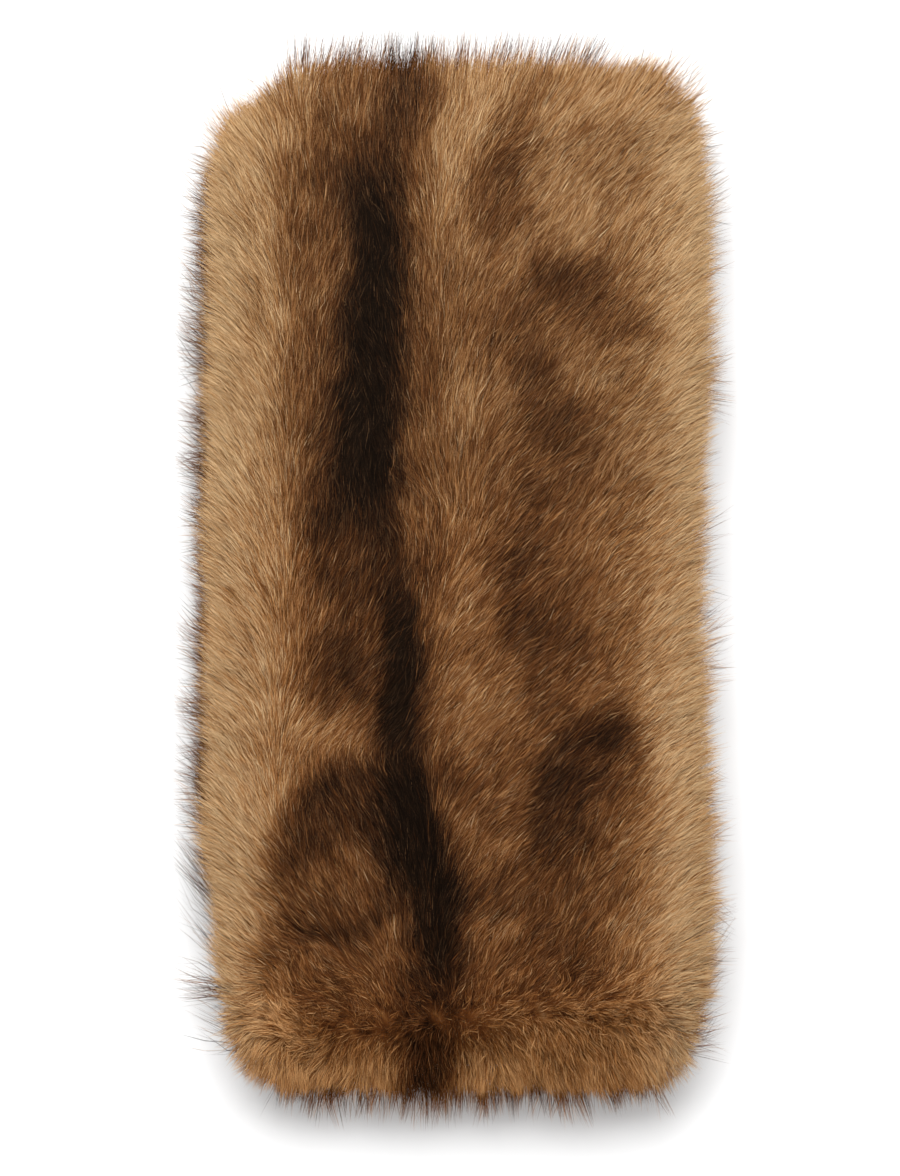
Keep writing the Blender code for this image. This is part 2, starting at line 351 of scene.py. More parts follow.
@dataclass
class Pelt:
    """The markings of the pelt, from 0 on cream fur to 1 on black.

    Its middle is at inner_level and its side bands at band_level, less rim_drop at their outer
    rims. Each marking is full inside its core share and fades out at its rim share. The pelt is
    warmer by lower_warmth in its lower half, and by fold_warmth from the start of the fold.
    """

    inner_level: float = 0.45
    band_level: float = 0.135
    left_band: tuple[float, float] = (56 * MM, 80 * MM)
    right_band: tuple[float, float] = (56 * MM, 90 * MM)
    rim_drop: float = 0.10
    rim_band: tuple[float, float] = (78 * MM, 92 * MM)
    core: float = 0.3
    rim: float = 1.4
    drift: Noise = Noise(grain=17 * MM, seed=6)
    drift_reach: float = 1.3 * MM
    mottle: Noise = Noise(grain=8 * MM, seed=7)
    fleck: Noise = Noise(grain=4 * MM, seed=9)
    mottle_depth: float = 0.036
    fleck_depth: float = 0.012
    least_patchy: float = 0.3
    patchy_from: tuple[float, float] = (0.12, 0.45)
    upper_warmth: float = 0.24
    lower_warmth: float = 0.26
    lower_half: tuple[float, float] = (-60 * MM, 0.0)
    fold_warmth: float = 0.77
    fold_start: tuple[float, float] = (125 * MM, 175 * MM)
    fold_sides: tuple[float, float] = (-94 * MM, -66 * MM)
    markings: tuple[Marking, ...] = (
        Marking.mm(40, 186, 56, 24, 0.23),
        Marking.mm(48, 148, 26, 30, 0.32),
        Marking.mm(5, 172, 10, 28, 0.22, turn=-12),
        Marking.mm(31, 186, 7, 14, 0.48, turn=-20),
        Marking.mm(22, 164, 9, 19, 0.56, turn=-20),
        Marking.mm(18, 142, 12, 18, 0.56, turn=5),
        Marking.mm(50, 166, 13, 11, 0.36),
        Marking.mm(-42, 176, 14, 22, 0.52),
        Marking.mm(-53, 191, 11, 11, 0.3),
        Marking.mm(-48, 150, 12, 24, 0.62),
        Marking.mm(-56, 124, 12, 18, 0.57),
        Marking.mm(-50, 82, 13, 20, 0.58),
        Marking.mm(-48, 33, 12, 30, 0.77),
        Marking.mm(-38, 2, 17, 28, 0.75),
        Marking.mm(-43, -40, 18, 18, 0.8),
        Marking.mm(-60, -60, 24, 9, 0.27, turn=26),
        Marking.mm(-45, -138, 31, 29, 0.50),
        Marking.mm(-44, -85, 13, 20, 0.85, turn=-48),
        Marking.mm(-61, -104, 12, 18, 0.68, turn=-22),
        Marking.mm(-52, -100, 11, 12, 0.78),
        Marking.mm(-52, -50, 8, 8, 0.72),
        Marking.mm(-34, -94, 8, 20, 0.8, turn=34),
        Marking.mm(-26, -120, 11, 15, 0.74),
        Marking.mm(-45, -115, 10, 8, 0.58),
        Marking.mm(-47, -133, 22, 12, 0.68),
        Marking.mm(0, -198, 100, 24, 0.16),
        Marking.mm(-60, -190, 20, 12, 0.04),
        Marking.mm(84, -180, 18, 20, 0.0),
        Marking.mm(-34, -176, 26, 15, 0.49),
        Marking.mm(-71, -178, 18, 16, 0.05),
        Marking.mm(25, 94, 20, 12, 0.58),
        Marking.mm(60, 99, 9, 24, 0.57, turn=66),
        Marking.mm(42, 112, 15, 10, 0.71),
        Marking.mm(31, 74, 9, 16, 0.68),
        Marking.mm(58, 76, 15, 10, 0.32),
        Marking.mm(4, 62, 10, 16, 0.36),
        Marking.mm(-9, 5, 8, 20, 0.62),
        Marking.mm(-8, 76, 10, 16, 0.6),
        Marking.mm(18, -90, 11, 14, 0.56),
        Marking.mm(38, 53, 15, 15, 0.69),
        Marking.mm(35, 28, 22, 18, 0.55),
        Marking.mm(27, -6, 17, 26, 0.66),
        Marking.mm(40, -30, 17, 20, 0.62),
        Marking.mm(32, -44, 10, 12, 0.62),
        Marking.mm(15, -51, 11, 14, 0.46),
        Marking.mm(54, -53, 16, 9, 0.54),
        Marking.mm(2, -78, 9, 9, 0.64),
        Marking.mm(25, -24, 10, 13, 0.70),
        Marking.mm(33, -132, 30, 33, 0.59),
        Marking.mm(52, -82, 20, 22, 0.6),
        Marking.mm(54, -64, 17, 10, 0.84, turn=10),
        Marking.mm(47, -76, 15, 12, 0.8),
        Marking.mm(40, -93, 14, 24, 0.8),
        Marking.mm(30, -124, 13, 12, 0.62),
        Marking.mm(16, -158, 16, 26, 0.53),
        Marking.mm(50, -174, 36, 14, 0.26),
        Marking.mm(-80, 137, 3, 10, 0.30),
        Marking.mm(-78, 104, 2, 16, 0.34, turn=6),
        Marking.mm(-77, 36, 2, 16, 0.34, turn=8),
        Marking.mm(-77, 4, 2, 12, 0.34),
        Marking.mm(-84, -13, 2, 9, 0.30, turn=35),
        Marking.mm(-79, -30, 2, 14, 0.34, turn=15),
    )
    stripe: tuple[Knot, ...] = (
        Knot.mm(215, -17, 10, 0.70),
        Knot.mm(180, -20, 14, 0.74),
        Knot.mm(168, -24, 14, 0.74),
        Knot.mm(158, -33, 15, 0.84),
        Knot.mm(148, -32, 13, 0.95),
        Knot.mm(138, -29, 12, 1.08),
        Knot.mm(110, -30, 12, 1.12),
        Knot.mm(80, -31, 14, 1.12),
        Knot.mm(45, -31, 15.5, 1.2),
        Knot.mm(24, -33, 13.5, 1.0),
        Knot.mm(12, -29, 11, 0.83),
        Knot.mm(0, -23, 8, 0.86),
        Knot.mm(-18, -21, 8.5, 1.0),
        Knot.mm(-38, -19.5, 8.8, 1.12),
        Knot.mm(-59, -21.5, 10.5, 1.06),
        Knot.mm(-67, -20, 11, 0.92),
        Knot.mm(-75, -21, 11, 1.03),
        Knot.mm(-84, -19, 12, 1.18),
        Knot.mm(-94, -14.5, 16, 1.15),
        Knot.mm(-110, -12, 16.5, 1.10),
        Knot.mm(-124, -6, 14.5, 1.08),
        Knot.mm(-142, -6, 12.5, 1.0),
        Knot.mm(-156, -9.5, 17, 0.78),
        Knot.mm(-172, -11, 15.5, 0.71),
        Knot.mm(-186, -11, 12, 0.76),
        Knot.mm(-197, -11, 11, 0.82),
        Knot.mm(-212, -10, 11, 0.76),
    )

    def level(self, x: np.ndarray, y: np.ndarray) -> np.ndarray:
        """How dark the pelt is at each place.

        Args:
            x: Places across the wrap.
            y: Places along the wrap.

        Returns:
            Levels from 0, cream, to 1 and above, black.
        """
        x = x + self.drift_reach * self.drift.at(x, y)
        y = y + self.drift_reach * self.drift.at(y + 1, x)
        side = smooth_step(-x, *self.left_band) + smooth_step(x, *self.right_band)
        level = self.inner_level + (self.band_level - self.inner_level) * side
        level -= self.rim_drop * smooth_step(np.abs(x), *self.rim_band)
        for mark in self.markings:
            cover = 1 - smooth_step(mark.distance(x, y), self.core, self.rim)
            level += (mark.level - level) * cover
        patchy = self.mottle_depth * self.mottle.at(x, y) + self.fleck_depth * self.fleck.at(x, y)
        brown = smooth_step(level, *self.patchy_from)
        level += patchy * (self.least_patchy + (1 - self.least_patchy) * brown)
        knots = sorted(self.stripe, key=lambda knot: knot.y)
        row = [knot.y for knot in knots]
        middle = np.interp(y, row, [knot.x for knot in knots])
        width = np.interp(y, row, [knot.half_width for knot in knots])
        dark = np.interp(y, row, [knot.level for knot in knots])
        cover = 1 - smooth_step(np.abs(x - middle) / width, self.core, self.rim)
        return level + (dark - level) * cover

    def warmth(self, x: np.ndarray, y: np.ndarray, level: np.ndarray) -> np.ndarray:
        """How much redder than plain fur the pelt is at each place.

        Args:
            x: Places across the wrap.
            y: Places along the wrap.
            level: How dark the pelt is there.

        Returns:
            Shares of the warm tint. Cream and black fur take little of it, and golden fur most.
        """
        golden = smooth_step(level, 0.0, 0.2) * (1 - 0.75 * smooth_step(level, 0.35, 0.7))
        golden *= self.upper_warmth + self.lower_warmth * smooth_step(-y, *self.lower_half)
        fold = smooth_step(-y, *self.fold_start) * smooth_step(-np.abs(x), *self.fold_sides)
        folded = self.fold_warmth - 0.32 * smooth_step(level, 0.3, 0.7)
        return golden + fold * (folded - golden)


@dataclass
class FurCloth:
    """The strip of fur cloth with its dense underfur, folded in half.

    Its left and right edges are shares of the fur's outline, which is read a little nearer its
    middle than the cloth's own place, by the shares for its upper and lower half. The left edge
    reaches out by lower_left more over lower_stretch, and the back leaf lies back_shift to the
    left over shifted_stretch. Towards its edges the cloth thins and drops.
    """

    name: str = "fur_cloth"
    thickness: float = 14.5 * MM
    front_height: float = 27.8 * MM
    back_height: float = 11.6 * MM
    free_end: float = 187 * MM
    fold_end: float = -187 * MM
    left_share: float = 0.825
    left_nearer: tuple[float, float] = (0.985, 0.95)
    lower_left: float = 0.028
    lower_stretch: tuple[float, float] = (20 * MM, 130 * MM)
    right_share: float = 0.86
    right_nearer: tuple[float, float] = (0.95, 0.94)
    back_shift: float = 5 * MM
    shifted_stretch: tuple[float, float] = (-160 * MM, -90 * MM)
    columns: int = 48
    rows: int = 180
    edge_reach: float = 20 * MM
    edge_share: float = 0.62
    edge_drop: float = 3 * MM
    bevel: float = 3.4 * MM
    outline: Outline = field(default_factory=Outline)

    @property
    def parting(self) -> float:
        """Height where the two leaves meet."""
        return (self.front_height + self.back_height) / 2

    @property
    def turn_radius(self) -> float:
        """Radius of the fold at the middle of the cloth."""
        return (self.front_height - self.back_height) / 2

    @property
    def turn_y(self) -> float:
        """Where the leaves end and the turn begins."""
        return self.fold_end + self.turn_radius + self.thickness / 2

    @property
    def leaf_length(self) -> float:
        """Length of the flat stretch of one leaf."""
        return self.free_end - self.turn_y

    @property
    def strip_length(self) -> float:
        """Length of the whole strip before it is folded."""
        return 2 * self.leaf_length + math.pi * self.turn_radius

    def place(self, share: np.ndarray, run: np.ndarray) -> np.ndarray:
        """Folds points of the flat strip.

        Args:
            share: Places across the strip, from 0 at the left to 1 at the right.
            run: Places along the strip, from 0 at the front free end.

        Returns:
            The folded points, one a row.
        """
        arc = math.pi * self.turn_radius
        turned = np.clip((run - self.leaf_length) / arc, 0.0, 1.0) * math.pi
        flat_run = np.where(run < self.leaf_length, run, self.strip_length - run)
        y = np.where(
            (turned > 0) & (turned < math.pi),
            self.turn_y - self.turn_radius * np.sin(turned),
            self.free_end - np.minimum(flat_run, self.leaf_length),
        )
        z = self.parting + self.turn_radius * np.cos(turned)
        left, right = self.sides(y)
        x = left + (right - left) * share
        x -= self.back_shift * (turned / math.pi) * smooth_step(y, *self.shifted_stretch)
        inward = self.inward(left + (right - left) * share, y, left, right)
        z -= self.edge_drop * (1 - inward) * np.cos(turned)
        return np.column_stack([x, y, z])

    def sides(self, y: np.ndarray) -> tuple[np.ndarray, np.ndarray]:
        """Left and right edge of the cloth at each y, inside the outline of its fur."""
        top, foot = CAD_BOX[1][1] / self.free_end, CAD_BOX[0][1] / self.fold_end
        upper, lower = self.left_nearer
        left, _ = self.outline.edges(y * np.where(y > 0, upper * top, lower * foot))
        upper, lower = self.right_nearer
        _, right = self.outline.edges(y * np.where(y > 0, upper * top, lower * foot))
        wider = self.left_share + self.lower_left * smooth_step(-y, *self.lower_stretch)
        return wider * left, self.right_share * right

    def inward(self, x: np.ndarray, y: np.ndarray, left: np.ndarray, right: np.ndarray) -> np.ndarray:
        """How far inside the strip's free edges each point is, from 0 on one to 1 well inside."""
        near = np.minimum(np.minimum(x - left, right - x), self.free_end - y)
        short = 1 - np.clip(near / self.edge_reach, 0.0, 1.0)
        return np.sqrt(1 - short**2)

    def build(self) -> bpy.types.Object:
        """Cuts, folds and thickens the strip.

        Returns:
            The finished cloth.
        """
        deselect_all()
        bpy.ops.mesh.primitive_grid_add(
            x_subdivisions=self.columns, y_subdivisions=self.rows, size=1, location=(0.5, 0.5, 0)
        )
        cloth = bpy.context.object
        cloth.name = cloth.data.name = self.name
        bpy.ops.object.transform_apply(location=True, rotation=True, scale=True)
        flat = np.array([v.co for v in cloth.data.vertices])
        folded = self.place(flat[:, 0], flat[:, 1] * self.strip_length)
        cloth.data.vertices.foreach_set("co", folded.astype(np.float32).ravel())
        self.thin_edges(cloth, folded)
        solid = cloth.modifiers.new("Thickness", "SOLIDIFY")
        solid.thickness = self.thickness
        solid.offset = 0.0
        solid.use_even_offset = True
        solid.vertex_group = "loft"
        solid.thickness_vertex_group = self.edge_share
        bevel = cloth.modifiers.new("Soft edge", "BEVEL")
        bevel.width = self.bevel
        bevel.segments = 3
        bevel.angle_limit = math.radians(50)
        for modifier in ("Thickness", "Soft edge"):
            bpy.ops.object.modifier_apply(modifier=modifier)
        bpy.ops.object.mode_set(mode="EDIT")
        bpy.ops.mesh.select_all(action="SELECT")
        bpy.ops.mesh.normals_make_consistent(inside=False)
        bpy.ops.object.mode_set(mode="OBJECT")
        bpy.ops.object.shade_smooth()
        return cloth

    def thin_edges(self, cloth: bpy.types.Object, folded: np.ndarray) -> None:
        """Marks how thick the underfur is, so that it thins towards the cut edges."""
        left, right = self.sides(folded[:, 1])
        loft = self.inward(folded[:, 0], folded[:, 1], left, right)
        group = cloth.vertex_groups.new(name="loft")
        for index, weight in enumerate(loft):
            group.add([index], float(weight), "REPLACE")


@dataclass
class Surface:
    """The outer faces of the cloth, where hairs can root.

    Faces that look at the other leaf by more than turned_in are left out above the fold, and
    in the fold those in the gap between the leaves, below gap_end. Underneath, the fur is
    planted at under_share of a coat's density. Its sides have side_share more, those of the
    front leaf upper_share more again, and its top top_share more than that.
    """

    corners: np.ndarray
    normals: np.ndarray
    parting: float
    turned_in: float = 0.75
    fold_start: float = -180 * MM
    gap: float = 4 * MM
    gap_turned_in: float = 0.3
    gap_end: float = -172 * MM
    under_share: float = 0.12
    side_share: float = 0.25
    upper_share: float = 0.43
    top_share: float = 0.2
    upper_blend: float = 3 * MM

    @classmethod
    def of(cls, cloth: bpy.types.Object, parting: float) -> "Surface":
        """Reads the triangles of the cloth that the fur covers.

        Args:
            cloth: The finished cloth.
            parting: Height of the plane where the leaves meet.

        Returns:
            The outer surface.
        """
        mesh = cloth.data
        mesh.calc_loop_triangles()
        points = np.empty(len(mesh.vertices) * 3, np.float32)
        mesh.vertices.foreach_get("co", points)
        normals = np.empty(len(mesh.vertices) * 3, np.float32)
        mesh.vertex_normals.foreach_get("vector", normals)
        index = np.empty(len(mesh.loop_triangles) * 3, np.int32)
        mesh.loop_triangles.foreach_get("vertices", index)
        index = index.reshape(-1, 3)
        corners = points.reshape(-1, 3).astype(float)[index]
        normals = normals.reshape(-1, 3).astype(float)[index]
        middle, facing = corners.mean(1), unit(normals.mean(1))
        towards = np.where(middle[:, 2] > parting, -facing[:, 2], facing[:, 2])
        outer = (towards < cls.turned_in) | (middle[:, 1] < cls.fold_start)
        inside = (np.abs(middle[:, 2] - parting) < cls.gap) & (towards > cls.gap_turned_in)
        keep = outer & ~(inside & (middle[:, 1] < cls.gap_end))
        return cls(corners[keep], normals[keep], parting)

    def planting(self, zone: "Zone", everywhere: bool) -> np.ndarray:
        """How densely each triangle is planted.

        Args:
            zone: Where the coat grows.
            everywhere: Whether the fur thins underneath and at the back leaf's sides.

        Returns:
            A weight for each triangle.
        """
        middle, facing = self.corners.mean(1), unit(self.normals.mean(1))[:, 2]
        inside = zone.holds(middle).astype(float)
        if not everywhere:
            return inside
        blend = self.upper_blend
        upper = smooth_step(middle[:, 2], self.parting - blend, self.parting + blend)
        side = smooth_step(facing, -0.75, 0.0) * (self.side_share + self.upper_share * upper)
        top = self.top_share * smooth_step(facing, 0.3, 0.8)
        return inside * (self.under_share + side + top)

    @property
    def areas(self) -> np.ndarray:
        """Area of each triangle."""
        c = self.corners
        return np.linalg.norm(np.cross(c[:, 1] - c[:, 0], c[:, 2] - c[:, 0]), axis=1) / 2

    def scatter(
        self, count: int, weight: np.ndarray, rng: np.random.Generator
    ) -> tuple[np.ndarray, np.ndarray]:
        """Drops roots evenly over the surface.

        Args:
            count: How many roots.
            weight: How densely each triangle is planted.
            rng: The source of random numbers.

        Returns:
            The roots and the surface's normals there.
        """
        share = np.cumsum(self.areas * weight)
        pick = (np.arange(count) + rng.random(count)) / count * share[-1]
        face = np.minimum(np.searchsorted(share, pick), len(share) - 1)
        u, v = rng.random(count), rng.random(count)
        flip = u + v > 1
        u[flip], v[flip] = 1 - u[flip], 1 - v[flip]
        parts = np.column_stack([1 - u - v, u, v])[:, :, None]
        return (self.corners[face] * parts).sum(1), unit((self.normals[face] * parts).sum(1))


@dataclass
class Hairs:
    """A batch of hairs, each a bent line with its own width and dye.

    Each is dyed by mark, how dark it is, tone, how much paler than its neighbours it is and how
    much painted glint it takes, and warmth, how red it is. Its lie is the way that the fur around
    it faces.
    """

    root: np.ndarray
    bend: np.ndarray
    tip: np.ndarray
    radius: np.ndarray
    lie: np.ndarray
    mark: np.ndarray
    tone: np.ndarray
    warmth: np.ndarray

    @classmethod
    def set_out(cls, roots: np.ndarray, radius: float, lie: np.ndarray) -> "Hairs":
        """Starts a batch at its roots, with no length and no dye yet."""
        count = len(roots)
        blank = [np.zeros(count) for _ in range(3)]
        return cls(roots, roots.copy(), roots.copy(), np.full(count, radius), lie, *blank)

    def part(self, keep: np.ndarray) -> "Hairs":
        """The hairs that keep marks."""
        names = [column.name for column in fields(self)]
        return Hairs(**{name: getattr(self, name)[keep] for name in names})

    def at(self, along: np.ndarray) -> tuple[np.ndarray, np.ndarray]:
        """Points and directions at the same places along every hair.

        Args:
            along: Places along a hair, from 0 at its root to 1 at its tip.

        Returns:
            Points and unit directions, as hair by place by axis.
        """
        t = along[None, :, None]
        a, b, c = (p[:, None, :] for p in (self.root, self.bend, self.tip))
        points = (1 - t) ** 2 * a + 2 * t * (1 - t) * b + t**2 * c
        ways = (1 - t) * (b - a) + t * (c - b)
        return points, ways / np.maximum(np.linalg.norm(ways, axis=2, keepdims=True), 1e-9)


@dataclass
class Blade:
    """One modelled hair, whose copies make the pile.

    It is flat, one unit long, pointed at both ends, and widest at its belly, a share of the way
    from its root to its tip.
    """

    belly: float = 0.6
    points: np.ndarray = field(init=False)
    faces: np.ndarray = field(init=False)

    def model(self) -> None:
        """Models the hair from a square on its corner, drawn into a kite that is widest at its belly."""
        deselect_all()
        bpy.ops.mesh.primitive_circle_add(
            vertices=4, radius=1, fill_type="NGON", location=(0, 0, 0),
            rotation=(math.radians(-90), 0, 0),
        )
        hair = bpy.context.object
        bpy.ops.object.transform_apply(location=True, rotation=True, scale=True)
        bpy.ops.object.mode_set(mode="EDIT")
        bpy.ops.mesh.select_all(action="DESELECT")
        form = bmesh.from_edit_mesh(hair.data)
        for vertex in form.verts:
            if abs(vertex.co.x) > 0.5:
                vertex.co.z = self.belly
                vertex.select = True
            else:
                vertex.co.z = max(vertex.co.z, 0.0)
        form.select_flush_mode()
        bmesh.update_edit_mesh(hair.data)
        bpy.ops.mesh.vert_connect()
        bpy.ops.object.mode_set(mode="OBJECT")
        self.points = np.array([v.co for v in hair.data.vertices])
        self.faces = np.array([p.vertices[:] for p in hair.data.polygons])
        bpy.data.objects.remove(hair)


@dataclass(frozen=True)
class Zone:
    """A box of space."""

    x: tuple[float, float] = (-1.0, 1.0)
    y: tuple[float, float] = (-1.0, 1.0)
    z: tuple[float, float] = (-1.0, 1.0)

    @classmethod
    def mm(cls, **bounds: tuple[float, float]) -> "Zone":
        """A box whose bounds along some of the axes are given in millimetres."""
        return cls(**{axis: (low * MM, high * MM) for axis, (low, high) in bounds.items()})

    def holds(self, points: np.ndarray) -> np.ndarray:
        """Which points are inside."""
        inside = np.ones(len(points), bool)
        for axis, (low, high) in enumerate((self.x, self.y, self.z)):
            inside &= (points[:, axis] >= low) & (points[:, axis] <= high)
        return inside


@dataclass(frozen=True)
class Fan:
    """How a fringe is spread over an edge.

    Lean, stray and splay are degrees: from +Y towards +X, the spread about that, and how much
    the lean grows with each metre along X. Follow is the share of the nap's own lean it keeps,
    and ragged is how much its length changes from tuft to tuft.
    """

    length: float
    lean: float = 0.0
    stray: float = 10.0
    splay: float = 0.0
    follow: float = 0.0
    lift: float = 8.0
    gather: float = 0.45
    ragged: float = 0.0


@dataclass(frozen=True)
class Coat:
    """One kind of hair, where it grows and how it is dyed.

    Density is hairs for each square millimetre where the fur is thickest. A coat without a fan
    follows the nap, and one without a level is dyed as the pelt is. Own is how much of its level
    another coat keeps, against the pelt's. Uneven is how much neighbouring hairs differ, and
    lock is about how many of them are gathered together.
    """

    name: str
    density: float
    radius: float
    zone: Zone = Zone()
    fan: Fan | None = None
    level: float | None = None
    own: float = 1.0
    uneven: float = 0.18
    lock: int = 12


@dataclass
class Grower:
    """Grows hairs on the cloth.

    At the back leaf's sides they point outwards and lean northward, by fold_northward from
    fold_start down and steeper on the left edge between steep_start and steep_end. There they
    are as dark as back_levels gives for the left and the right half. All hairs stay within
    reach of the middle and floor_gap above the floor, and are shorter at the upper left corner.
    Each takes the pelt's marking at shown_at, a share of the way along it, scattered a little.
    """

    surface: Surface
    nap: Nap
    pelt: Pelt
    seed: int = 11
    front_rise: tuple[float, float] = (-1 * MM, 6 * MM)
    turned_up: tuple[float, float] = (-0.1, 0.6)
    turned_down: tuple[float, float] = (0.1, 0.6)
    northward: float = 0.38
    fold_northward: float = -0.1
    fold_start: float = -165 * MM
    steeper: float = 1.1
    steep_start: tuple[float, float] = (70 * MM, 110 * MM)
    steep_end: tuple[float, float] = (152 * MM, 172 * MM)
    droop: float = 0.5
    side_droop: float = 0.25
    under_splay: float = 0.5
    side_lifts: tuple[float, float] = (math.radians(18), math.radians(4))
    under_lift: float = math.radians(12)
    side_length: float = 14 * MM
    back_length: float = 12 * MM
    corner_left: tuple[float, float] = (60 * MM, 65 * MM)
    corner_top: tuple[float, float] = (165 * MM, 180 * MM)
    corner_trim: float = 0.22
    floor_gap: float = 0.3 * MM
    reach: tuple[float, float, float] = (109 * MM, 213 * MM, 53 * MM)
    edge_light: float = 3.5
    shown_at: float = 0.8
    scatter: float = 1.9 * MM
    back_levels: tuple[float, float] = (0.56, 0.36)
    back_rise: tuple[float, float] = (-2 * MM, 3 * MM)
    fine: Noise = Noise(grain=0.32 * MM, seed=21, cells=512)
    fine_depth: float = 0.07
    broad: Noise = Noise(grain=3.5 * MM, seed=22)
    broad_depth: float = 0.012
    tuft: Noise = Noise(grain=7 * MM, seed=23)
    length_spread: float = 0.15
    length_limits: tuple[float, float] = (0.6, 1.35)
    width_spread: float = 0.33
    width_limits: tuple[float, float] = (0.5, 2.2)
    fan_rise: float = 0.06
    fan_limits: tuple[float, float] = (0.3, 1.5)
    fan_ruffle: float = 0.04
    lock_width: float = 0.25
    most_gathered: float = 0.8

    def __post_init__(self) -> None:
        """Starts the random numbers."""
        self.rng = np.random.default_rng(self.seed)

    def directions(self, roots: np.ndarray, normals: np.ndarray) -> dict[str, np.ndarray]:
        """Works out which way each hair sets off and ends.

        Args:
            roots: Places of the roots.
            normals: The cloth's normals there.

        Returns:
            Unit directions of the lower and upper half of each hair, its length, and how far
            it is ruffled and gathered.
        """
        comb = self.nap.at(roots)
        parting = self.surface.parting
        front = smooth_step(roots[:, 2], *(parting + rise for rise in self.front_rise))
        over = smooth_step(normals[:, 2], *self.turned_up) * front
        under = smooth_step(-normals[:, 2], *self.turned_down) * (1 - front)
        side = 1 - over - under
        flat = np.zeros(len(roots))
        combed = np.column_stack([comb["east"], comb["north"], -self.droop * (1 - over)])
        northward = np.where(roots[:, 1] > self.fold_start, self.northward, self.fold_northward)
        down = -roots[:, 1]
        steep = smooth_step(down, *self.steep_start) * (1 - smooth_step(down, *self.steep_end))
        northward = northward + self.steeper * steep * (roots[:, 0] < 0)
        outward = np.column_stack([normals[:, 0], normals[:, 1], flat])
        outward += np.column_stack([flat, northward, flat - self.side_droop])
        pressed = np.column_stack([self.under_splay * np.sign(roots[:, 0]), flat - 1, flat])
        way = unit(
            front[:, None] * unit(combed)
            + (1 - front)[:, None] * (side[:, None] * unit(outward) + under[:, None] * unit(pressed))
        )
        inward = (way * normals).sum(1)
        way = unit(way - np.minimum(inward, 0)[:, None] * normals)
        root_lift = comb["root_lift"] * over + self.side_lifts[0] * side + self.under_lift * under
        tip_lift = comb["tip_lift"] * over + self.side_lifts[1] * side
        length = comb["length"] * over + self.side_length * side * front
        length += self.back_length * (side * (1 - front) + under)
        corner = smooth_step(-roots[:, 0], *self.corner_left) * smooth_step(roots[:, 1], *self.corner_top)
        length *= 1 - self.corner_trim * corner
        return {
            "way": way, "root_lift": root_lift, "tip_lift": tip_lift, "length": length,
            "ruffle": comb["ruffle"], "gather": comb["gather"], "up": normals,
        }

    def fanned(self, roots: np.ndarray, normals: np.ndarray, fan: Fan) -> dict[str, np.ndarray]:
        """Works out the same as directions for a fringe that stands out over an edge."""
        count = len(roots)
        comb = self.nap.at(roots)
        lean = fan.follow * np.arctan2(comb["east"], comb["north"])
        lean += np.radians(fan.lean + fan.splay * roots[:, 0] + self.rng.normal(0, fan.stray, count))
        way = np.column_stack([np.sin(lean), np.cos(lean), self.rng.normal(0, self.fan_rise, count)])
        inward = (way * normals).sum(1)
        length = fan.length * (1 + fan.ragged * self.tuft.at(roots[:, 0], roots[:, 1]))
        shortest, longest = (limit * fan.length for limit in self.fan_limits)
        up = np.zeros((count, 3))
        up[:, 2] = 1
        return {
            "way": unit(way - np.minimum(inward, 0)[:, None] * normals),
            "root_lift": np.full(count, math.radians(fan.lift)), "tip_lift": np.zeros(count),
            "length": np.clip(length, shortest, longest), "up": up,
            "ruffle": np.full(count, self.fan_ruffle), "gather": np.full(count, fan.gather),
        }

    def grow(self, coat: Coat, less: int) -> Hairs:
        """Grows a batch of hairs.

        Args:
            coat: The kind of hair.
            less: How many times fewer hairs than the coat's own density gives.

        Returns:
            The hairs.
        """
        rng = self.rng
        planting = self.surface.planting(coat.zone, coat.fan is None)
        count = int(coat.density * (self.surface.areas * planting).sum() / MM**2) // less
        roots, normals = self.surface.scatter(count, planting, rng)
        if coat.fan is None:
            ways = self.directions(roots, normals)
        else:
            ways = self.fanned(roots, normals, coat.fan)
        halves = []
        for lift in (ways["root_lift"][:, None], ways["tip_lift"][:, None]):
            half = ways["way"] * np.cos(lift) + ways["up"] * np.sin(lift)
            halves.append(unit(half + ways["ruffle"][:, None] * rng.normal(0, 1, (count, 3))))
        uneven = rng.normal(1.0, self.length_spread, count)
        length = ways["length"] * np.clip(uneven, *self.length_limits)
        hairs = Hairs.set_out(roots, coat.radius, self.towards_light(ways["up"]))
        hairs.bend = roots + halves[0] * (0.5 * length)[:, None]
        hairs.tip = hairs.bend + halves[1] * (0.5 * length)[:, None]
        self.gather(hairs, ways["gather"], coat.lock)
        self.trim(hairs)
        self.dye(hairs, coat)
        uneven = np.exp(rng.normal(0, self.width_spread, count))
        hairs.radius *= np.clip(uneven, *self.width_limits)
        return hairs

    def towards_light(self, normals: np.ndarray) -> np.ndarray:
        """Turns normals a little upwards, as far as the light reaches round the cloth's edges."""
        upward = normals.copy()
        upward[:, 2] += self.edge_light * (1 - np.abs(normals[:, 2]))
        return unit(upward)

    def gather(self, hairs: Hairs, gather: np.ndarray, lock: int) -> None:
        """Draws the tips of about lock neighbouring hairs together."""
        count = len(hairs.root)
        lead = self.rng.choice(count, max(1, count // lock), replace=False)
        tree = kdtree.KDTree(len(lead))
        for number, index in enumerate(lead):
            tree.insert(hairs.root[index], number)
        tree.balance()
        nearest = np.array([lead[tree.find(root)[1]] for root in hairs.root])
        target = hairs.tip[nearest] + (hairs.root - hairs.root[nearest]) * self.lock_width
        pull = np.minimum(gather * self.rng.random(count) * 2, self.most_gathered)[:, None]
        hairs.tip += (target - hairs.tip) * pull

